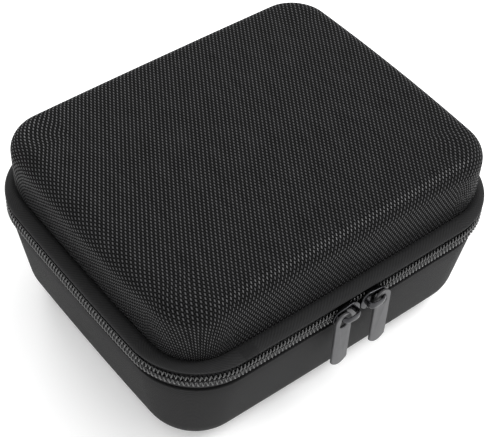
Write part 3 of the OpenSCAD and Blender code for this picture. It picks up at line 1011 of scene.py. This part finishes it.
class HARDCASE_OT_zip(Step, bpy.types.Operator):
    """Model the zip's two tapes and two coils"""

    bl_idname = "hardcase.zip"
    bl_label = "Zip"

    def turn(self, name):
        """One turn of a coil's wire, with its widened head."""
        zipper = settings().zip
        stations, sides = 8, 6
        deep, tall = (size / 2 - zipper.wire for size in (zipper.coil_depth, zipper.coil_height))
        rings = []
        for i in range(stations + 1):
            t = i / stations
            angle = 2 * math.pi * (t - 0.25)
            thick = zipper.wire * (1.0 + 0.12 * max(0.0, -math.cos(angle)) ** 4)
            centre = Vector((zipper.pitch * (t - 0.5), deep * math.sin(angle),
                             0.1 * MM + zipper.coil_height / 2 + tall * math.cos(angle)))
            way = Vector((zipper.pitch, deep * 2 * math.pi * math.cos(angle),
                          -tall * 2 * math.pi * math.sin(angle))).normalized()
            side = Vector((1, 0, 0))
            side = (side - way * side.dot(way)).normalized()
            rings.append(oval(centre, side * thick, way.cross(side) * thick, sides))
        piece = tube(name, rings)
        bpy.ops.object.mode_set(mode="OBJECT")
        return piece

    def coil(self, name, side, body, node):
        """Lays copies of the turn round the case. side is 1 for the upper coil, -1 for the
        lower. Between the sliders the coils stand apart."""
        case, zipper = settings().case, settings().zip
        middle = zipper.inset - case.glue - zipper.coil_depth / 2
        total = girth(middle, zipper.rear_gap)
        count = round(total / zipper.pitch) - 1
        piece = self.turn(name)
        repeat(piece, count, zipper.pitch, use_merge_vertices=True, merge_threshold=0.01 * MM)
        edit(piece)
        cap_ends(piece)
        outwards()
        co = coordinates(piece)
        stretch = total / (zipper.pitch * (count + 1))
        distance = (co[:, 0] + zipper.pitch * (0.75 if side > 0 else 1.25)) * stretch
        co[:, 2] = PARTING + side * co[:, 2]
        laid = lay_out(co, distance, middle, zipper.rear_gap)
        near = np.clip((9 * MM - np.abs(laid[:, 0])) / (6 * MM), 0, 1)
        laid[:, 2] += side * SPREAD * near * (laid[:, 1] < 0)
        place(piece, bow(laid))
        if side < 0:
            outwards(piece)
        dress(piece, "zip_coil", body, [node], 80)

    def execute(self, context):
        zipper = settings().zip
        tape, inset, gap = zipper.tape, zipper.inset, 0.8 * MM
        face = [(seam(), RIM - 3 * MM), (seam(), RIM), (inset + 0.15 * MM, 44.1 * MM),
                (inset, 44.8 * MM), (inset, PARTING - gap)]
        band("lower_zip_tape", face + [(i + tape, z) for i, z in reversed(face)], bow,
             "zip_tape", "base", "lower_zipper_tape", zipper.rear_gap)
        top = FLANGE_LOW.z + 0.5 * MM
        leg = inset + 5.5 * MM
        band("upper_zip_tape", [
            (inset, PARTING + gap), (inset, top - 0.3 * MM), (inset + 0.3 * MM, top), (leg, top),
            (leg, top - tape), (inset + tape + 0.2 * MM, top - tape),
            (inset + tape, top - tape - 0.2 * MM), (inset + tape, PARTING + gap)], bow,
            "zip_tape", "lid", "upper_zipper_tape", zipper.rear_gap)
        self.coil("lower_zip_coil", -1, "base", "lower_zipper_coil")
        self.coil("upper_zip_coil", 1, "lid", "upper_zipper_coil")
        return {"FINISHED"}


def line_normals(line):
    """Unit normals of a flat line's points, to the right of its way."""
    for before, after in zip(line[:1] + line[:-1], line[1:] + line[-1:]):
        way = Vector((after[0] - before[0], after[1] - before[1])).normalized()
        yield Vector((way.y, -way.x))


class HARDCASE_OT_hinge(Step, bpy.types.Operator):
    """Model the fabric hinge at the back and the tabs over the zip's ends"""

    bl_idname = "hardcase.hinge"
    bl_label = "Fabric hinge"

    def strip(self, name, face, thick, node):
        """A strip of fabric along the back whose face is a line of (inset, height) points."""
        width = settings().zip.hinge_width
        back = [(inset + normal.x * thick, z + normal.y * thick)
                for (inset, z), normal in zip(face, line_normals(face))]
        ring = [(-width / 2, settings().case.half_depth - inset, z)
                for inset, z in face + back[::-1]]
        piece = bar(name, ring, (width, 0, 0), 28, 0,
                    lambda co: np.stack([co[:, 0], co[:, 2] - co[:, 1]], 1), bow)
        dress(piece, "fine_fabric", None, [node])
        self.bend(piece)

    def bend(self, piece):
        """Bakes the piece's placement into its mesh."""
        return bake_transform(piece)

    def execute(self, context):
        case, zipper = settings().case, settings().zip
        outer = zipper.inset
        face = [(seam(), RIM - 3 * MM), (seam(), RIM), (outer + 0.7 * MM, 43.0 * MM),
                (outer + 0.12 * MM, 44.3 * MM)]
        face += [(outer, (45.2 + 0.55 * k) * MM) for k in range(14)]
        face += [(outer + 0.15 * MM, 52.95 * MM), (outer + 0.6 * MM, 53.38 * MM),
                 (outer + 5.5 * MM, 53.4 * MM)]
        self.strip("hinge_outer_fabric", face, zipper.tape, "hinge_strip_outer")
        inner = 8.85 * MM
        face = [(inner, (40 + 0.6 * k) * MM) for k in range(20)]
        face += [(inner + 0.2 * MM, 51.85 * MM), (inner + 0.7 * MM, 52.15 * MM),
                 (12.3 * MM, 52.15 * MM)]
        self.strip("hinge_inner_fabric", face, 0.55 * MM, "hinge_strip_inner")

        low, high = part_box("zip_end_tabs")
        out, tape = high.y / MM, (case.half_depth - zipper.inset) / MM + 0.05
        near = 31.6
        corners = [(0, tape), (0, out - 0.7), (0.2, out - 0.2), (0.7, out), (3, out), (6.8, out),
                   (7.7, out - 0.1), (8, out - 0.4), (7.6, out - 0.55), (2.8, out - 0.5),
                   (2.4, out - 0.8), (2.4, tape)]
        right = bar("right_zip_end", [((near + x) * MM, y * MM, low.z) for x, y in corners],
                    (0, 0, high.z - low.z), 12, 2, lambda co: co[:, [0, 2]], lambda co: co)
        both = join("zip_end_covers", right, mirrored(right, "left_zip_end"))
        place(both, bow(coordinates(both)))
        dress(both, "binding_tape", None, ["zip_end_tabs"])
        self.bend(both)
        return {"FINISHED"}


class HARDCASE_OT_foam_insert(Step, bpy.types.Operator):
    """Model the cut foam insert with its nests"""

    bl_idname = "hardcase.foam_insert"
    bl_label = "Foam insert"

    def nest(self, x0, y0, x1, y1, radius, floor):
        """A block with rounded corners that cuts a nest down to its floor."""
        deselect()
        top = 60 * MM
        bpy.ops.mesh.primitive_cube_add(
            size=1, location=((x0 + x1) / 2, (y0 + y1) / 2, (floor + top) / 2),
            scale=(x1 - x0, y1 - y0, top - floor))
        tool = named("nest_cutter")
        edit()
        pick(tool, "EDGE", lambda edge: abs(edge.verts[0].co.z - edge.verts[1].co.z) > 0.01)
        bpy.ops.mesh.bevel(offset=radius, segments=8, affect="EDGES")
        outwards()
        return tool

    def execute(self, context):
        insert = settings().insert
        low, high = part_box("foam_insert")
        depth = low.z
        line = base_line(depth, high.z) + [(settings().case.corner_radius, high.z)]
        piece = sweep("foam_insert_pad", line, closed=False)
        finish_shell(piece, (depth, high.z))
        x, y = high.x - insert.wall, high.y - insert.wall
        floor = high.z - insert.sink
        cable = x - insert.cable_pocket
        nest_x, slot_y = cable - insert.web, insert.stand_slot - y
        tools = [self.nest(-x, slot_y + insert.web, nest_x, y, 10 * MM, floor),
                 self.nest(cable, -y, x, y, 8 * MM, floor),
                 self.nest(-x, -y, nest_x, slot_y, 8 * MM, floor)]
        deselect()
        tall = 40 * MM
        bpy.ops.mesh.primitive_cylinder_add(
            vertices=32, radius=insert.wall - 2.5 * MM, depth=tall,
            location=((nest_x - x) / 2, y, high.z - insert.sink * 0.6 + tall / 2))
        tools.append(named("notch_cutter"))
        combine("DIFFERENCE", piece, *tools)
        apply(piece, "REMESH", mode="VOXEL", voxel_size=1.2 * MM)
        apply(piece, "SMOOTH", factor=0.5, iterations=3)
        place(piece, bow(coordinates(piece)))
        dress(piece, "insert_foam", "base", ["foam_insert"], 180)
        return {"FINISHED"}


class HARDCASE_OT_mesh_pocket(Step, bpy.types.Operator):
    """Model the lid's mesh pocket and its elastic hem"""

    bl_idname = "hardcase.mesh_pocket"
    bl_label = "Mesh pocket"

    def execute(self, context):
        low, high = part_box("mesh_pocket")
        pitch, yarn = settings().insert.net_pitch, settings().insert.net_yarn
        level = (low.z + high.z) / 2
        wide, deep = high.x - low.x, high.y - low.y
        side = (wide + deep) / math.sqrt(2)
        cells = round(side / pitch)
        deselect()
        bpy.ops.mesh.primitive_grid_add(
            x_subdivisions=cells, y_subdivisions=cells, size=side,
            location=((low.x + high.x) / 2, (low.y + high.y) / 2, level),
            rotation=(0, 0, math.radians(45)))
        net = named("mesh_pocket_net")
        edit()
        corner = 15.6 * MM
        cuts = [((high.x, 0), (1, 0)), ((low.x, 0), (-1, 0)), ((0, high.y), (0, 1)),
                ((0, low.y), (0, -1))]
        for sign in (-1, 1):
            hub = (sign * (high.x - corner), high.y - corner)
            for angle in (math.radians(degrees) for degrees in (20, 45, 70)):
                way = (sign * math.cos(angle), math.sin(angle))
                cuts.append(((hub[0] + way[0] * corner, hub[1] + way[1] * corner), way))
        for spot, way in cuts:
            select_all("VERT")
            bpy.ops.mesh.bisect(plane_co=(*spot, level), plane_no=(*way, 0), clear_outer=True)
        bpy.ops.object.mode_set(mode="OBJECT")
        apply(net, "WIREFRAME", thickness=yarn, use_even_offset=False, use_boundary=True)
        co = coordinates(net)
        set_uv(net, co[:, :2])
        co[:, 2] -= SAG * np.clip((high.y - co[:, 1]) / deep, 0, 1) * self.slack(co, high.x)
        place(net, shape_lid(co))
        dress(net, "net", "lid", ["mesh_pocket"])

        low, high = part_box("mesh_pocket_hem")
        half_y, half_z = (high.y - low.y) / 2, (high.z - low.z) / 2
        middle = (low.z + high.z) / 2
        end = 0.2 * MM
        ring = oval(Vector((low.x + end, (low.y + high.y) / 2, middle)), Vector((0, half_y, 0)),
                    Vector((0, 0, half_z)), 16, 0.6)

        def gathered(co):
            """Sags and gathers the elastic."""
            co[:, 2] -= SAG * self.slack(co, high.x)
            co[:, 2] += (np.sin(co[:, 0] / (0.55 * MM)) * 0.07 * MM
                         * np.sign(co[:, 2] - middle))
            return shape_lid(co)

        hem = bar("pocket_elastic_hem", ring, (high.x - low.x - 2 * end, 0, 0), 90, 0,
                  lambda co: np.stack([co[:, 0], co[:, 1] + co[:, 2]], 1), gathered)
        dress(hem, "elastic", "lid", ["mesh_pocket_hem"], 60)
        return {"FINISHED"}

    def slack(self, co, half):
        """How freely the pocket hangs between its sides: 1 at the middle, 0 at the ends."""
        return (1 - (co[:, 0] / half) ** 2).clip(0)


class HARDCASE_OT_sliders(Step, bpy.types.Operator):
    """Model a slider with its bail and pull tab, and its counterpart"""

    bl_idname = "hardcase.sliders"
    bl_label = "Sliders"

    def plate(self, name, front, back, trim, edge):
        """A drop-shaped plate between two insets, with rounded edges."""
        nose, tail = self.nose_radius - trim, self.tail_radius - trim
        deselect()
        bpy.ops.mesh.primitive_circle_add(
            vertices=48, radius=nose, fill_type="NGON",
            location=(self.nose_x, FRONT + front, PARTING), rotation=(math.pi / 2, 0, 0))
        piece = named(name)
        co = coordinates(piece)
        far = co[:, 0] > self.nose_x + HAIR
        co[far, 0] = self.tail_x + (co[far, 0] - self.nose_x) * (tail / nose)
        co[far, 2] = PARTING + (co[far, 2] - PARTING) * (tail / nose)
        place(piece, co)
        edit()
        select_all("FACE")
        extrude(0, back - front, 0)
        pick(piece, "EDGE", lambda e: abs(e.verts[0].co.y - e.verts[1].co.y) < HAIR)
        bpy.ops.mesh.bevel(offset=edge, segments=3, affect="EDGES")
        outwards()
        return piece

    def block(self, name, corners, back, edge):
        """An upright prism on a flat outline of (x, height) corners, with bevelled edges."""
        piece = ring_start(name, [(x, FRONT, PARTING + z) for x, z in corners])
        bpy.ops.mesh.edge_face_add()
        extrude(0, back, 0)
        select_all("VERT")
        bpy.ops.mesh.bevel(offset=edge, segments=2, affect="EDGES")
        outwards()
        return piece

    def bail(self):
        """The arched strap from the slider's nose to the round leg that carries the tab."""
        # x, inset, half thickness and half height in millimetres, and how square it is
        line = [(2.7, 0.3, 0.5, 1.5, 3), (2.65, -0.6, 0.5, 1.5, 3), (2.6, -1.8, 0.5, 1.5, 3),
                (2.7, -2.6, 0.5, 1.5, 3), (3.05, -3.2, 0.5, 1.5, 3), (3.7, -3.55, 0.48, 1.5, 3),
                (4.8, -3.65, 0.48, 1.5, 3), (6.2, -3.65, 0.48, 1.45, 3),
                (7.4, -3.6, 0.5, 1.35, 2.8), (8.3, -3.35, 0.6, 1.25, 2.5),
                (8.9, -2.9, 0.8, 1.15, 2.2), (9.2, -2.2, 1.0, 1.1, 2), (9.2, -1.4, 1.05, 1.1, 2),
                (9.2, 0.3, 1.05, 1.1, 2)]
        rings = []
        for (x, inset, thick, tall, square), normal in zip(line, line_normals(line)):
            rings.append(oval(Vector((x * MM, FRONT + inset * MM, EYE)),
                              Vector((-normal.x, -normal.y, 0)) * thick * MM,
                              Vector((0, 0, tall)) * MM, 16, 2 / square))
        return loft("bail", rings)

    def body(self):
        """A slider's two plates, the wedge between them, its lips and its bail."""
        front = self.plate("right_slider", -0.55 * MM, 0.45 * MM, 0, 0.28 * MM)
        back = self.plate("back_plate", 3.7 * MM, 4.45 * MM, 0.2 * MM, 0.2 * MM)
        wedge = self.block("wedge", in_mm([(1.1, 0), (3, 0.55), (6, 0.05), (6, -0.05),
                                           (3, -0.55)]), 4 * MM, 0.02 * MM)
        start, nose_x, tail_x = self.nose_x - 0.6 * MM, self.nose_x, self.tail_x
        nose, tail = self.nose_radius, self.tail_radius
        lip = [(start, nose - 0.12 * MM), (nose_x, nose - 0.08 * MM), (tail_x, tail - 0.08 * MM),
               (tail_x, tail - 0.55 * MM), (nose_x, nose - 0.55 * MM), (start, nose - 0.6 * MM)]
        lips = [self.block("lip", [(x, side * z) for x, z in lip], 2.25 * MM, 0.08 * MM)
                for side in (-1, 1)]
        return join("right_slider_metal", combine("UNION", front, wedge, back, *lips), self.bail())

    def tab(self):
        """A flat tab with a round top, an eyelet and a bowed lower end."""
        shape = settings().sliders
        low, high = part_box("right_pull_tab")
        middle, half = (low.x + high.x) / 2, shape.tab_width / 2
        centre = (low.z + high.z) / 2
        deselect()
        bpy.ops.mesh.primitive_plane_add(size=1, location=(middle, low.y, centre),
                                         rotation=(math.pi / 2, 0, 0))
        bpy.context.object.scale = (shape.tab_width, high.z - low.z, 1)
        piece = named("right_tab_metal")
        edit()
        pick(piece, "VERT", lambda v: v.co.z > centre)
        bpy.ops.mesh.bevel(offset=half * 0.97, segments=14, affect="VERTICES")
        pick(piece, "EDGE", lambda e: all(v.co.z < low.z + MM for v in e.verts))
        bpy.ops.mesh.subdivide(number_cuts=13)
        cage = bmesh.from_edit_mesh(piece.data)
        for vertex in cage.verts:
            if vertex.co.z < low.z + MM:
                vertex.co.z += shape.tab_bow * ((vertex.co.x - middle) / half) ** 2
        bmesh.update_edit_mesh(piece.data)
        select_all("FACE")
        extrude(0, high.y - low.y, 0)
        outwards()

        deselect()
        bpy.ops.mesh.primitive_cylinder_add(
            vertices=32, radius=1.25 * MM, depth=4 * MM,
            location=(middle, (low.y + high.y) / 2, EYE), rotation=(math.pi / 2, 0, 0))
        cutter = named("eyelet_cutter")
        co = coordinates(cutter)
        under = co[:, 2] < EYE - 0.01 * MM
        widen, drop = 1.48, 2.4 * MM
        co[under, 0] = middle + (co[under, 0] - middle) * widen
        co[under, 2] = EYE - drop + (co[under, 2] - EYE) * widen
        place(cutter, co)
        combine("DIFFERENCE", piece, cutter)
        apply(piece, "BEVEL", width=0.24 * MM, segments=3, limit_method="ANGLE",
              angle_limit=math.radians(50))
        return piece

    def execute(self, context):
        shape = settings().sliders
        nose_gap = 0.2 * MM
        self.nose_radius, self.tail_radius = shape.nose_radius, shape.tail_radius
        self.nose_x = nose_gap + shape.nose_radius
        self.tail_x = nose_gap + shape.slider_length - shape.tail_radius
        right, right_tab = self.body(), self.tab()
        left = mirrored(right, "left_slider_metal")
        left_tab = mirrored(right_tab, "left_tab_metal")
        for side, body, tab in (("right", right, right_tab), ("left", left, left_tab)):
            dress(body, "slider_metal", side + "_slider",
                  [side + "_slider_body", side + "_slider_bail"])
            dress(tab, "tab_metal", side + "_tab", [side + "_pull_tab"])
        return {"FINISHED"}


class HARDCASE_OT_stage(Step, bpy.types.Operator):
    """Set up the floor, the soft lights and the camera"""

    bl_idname = "hardcase.stage"
    bl_label = "Stage"

    def light(self, name, spot, aim, size, power):
        """A round area light that looks at a point."""
        deselect()
        bpy.ops.object.light_add(type="AREA", location=spot)
        lamp = bpy.context.object
        lamp.name = name
        lamp.data.energy, lamp.data.size, lamp.data.shape = power, size, "DISK"
        lamp.rotation_euler = (Vector(aim) - Vector(spot)).to_track_quat("-Z", "Y").to_euler()

    def camera(self, context):
        """A long lens above the front left corner, rolled a little."""
        azimuth, elevation, roll = (math.radians(a) for a in (-39.89, 47.01, 3.0))
        level = math.cos(elevation)
        back = Vector((math.sin(azimuth) * level, -math.cos(azimuth) * level,
                       math.sin(elevation)))
        right = (-back).cross(Vector((0, 0, 1))).normalized()
        up = right.cross(-back)
        right, up = (right * math.cos(roll) + up * math.sin(roll),
                     -right * math.sin(roll) + up * math.cos(roll))
        deselect()
        bpy.ops.object.camera_add()
        camera = context.object
        camera.name = "camera"
        camera.data.lens, camera.data.sensor_width = 100.1, 36
        camera.data.shift_x, camera.data.shift_y = -0.0001, -0.0005
        aim, distance = Vector((0.09, 0.27, 35.56)) * MM, 0.5276
        turned = Matrix((right, up, back)).transposed().to_4x4()
        camera.matrix_world = Matrix.Translation(aim + back * distance) @ turned
        context.scene.camera = camera

    def execute(self, context):
        studio = settings().studio
        deselect()
        bpy.ops.mesh.primitive_plane_add(size=6, location=(0, 0, -0.05 * MM))
        floor = bpy.context.object
        floor.name = "floor"
        finish = Finish("pale_floor")
        floor.data.materials.append(finish.surface(
            BaseColor=finish.shades(finish.noise(0.4), studio.floor, 0.99, 1.01), Roughness=0.8,
            EmissionColor=(1.0, 1.0, 1.0, 1.0), EmissionStrength=0.15))
        world = bpy.data.worlds.new("soft_surround")
        world.use_nodes = True
        surround = world.node_tree.nodes["Background"]
        surround.inputs["Color"].default_value = (1, 1, 1, 1)
        surround.inputs["Strength"].default_value = studio.world
        context.scene.world = world
        self.light("key_light", (0.5, -0.35, 0.75), (0, 0, 0.04), 0.5, studio.key)
        self.light("fill_light", (-0.7, -0.3, 0.4), (0, 0, 0.04), 0.6, studio.fill)
        self.light("rim_light", (0.1, 0.8, 0.6), (0, 0, 0.06), 0.4, studio.rim)
        self.camera(context)
        context.scene.view_settings.view_transform = "Standard"
        return {"FINISHED"}


OPERATORS = (HARDCASE_OT_base_shell, HARDCASE_OT_lid_shell, HARDCASE_OT_zip, HARDCASE_OT_hinge,
             HARDCASE_OT_foam_insert, HARDCASE_OT_mesh_pocket, HARDCASE_OT_sliders,
             HARDCASE_OT_stage)


class HARDCASE_PT_panel(bpy.types.Panel):
    """Lists the steps, in the order that they are taken"""

    bl_label = "Hard case"
    bl_space_type = "VIEW_3D"
    bl_region_type = "UI"
    bl_category = "Hard case"

    def draw(self, context):
        for operator in OPERATORS:
            self.layout.operator(operator.bl_idname)


CLASSES = (CaseShape, ZipShape, SliderShape, InsertShape, FabricLook, MetalLook, StudioSetup,
           HardCase, *OPERATORS, HARDCASE_PT_panel)


def register():
    for made in CLASSES:
        bpy.utils.register_class(made)
    bpy.types.Scene.hardcase = PointerProperty(type=HardCase)


def unregister():
    del bpy.types.Scene.hardcase
    for made in reversed(CLASSES):
        bpy.utils.unregister_class(made)


def main():
    register()
    for operator in OPERATORS:
        group, name = operator.bl_idname.split(".")
        getattr(getattr(bpy.ops, group), name)()


if __name__ == "__main__":
    main()
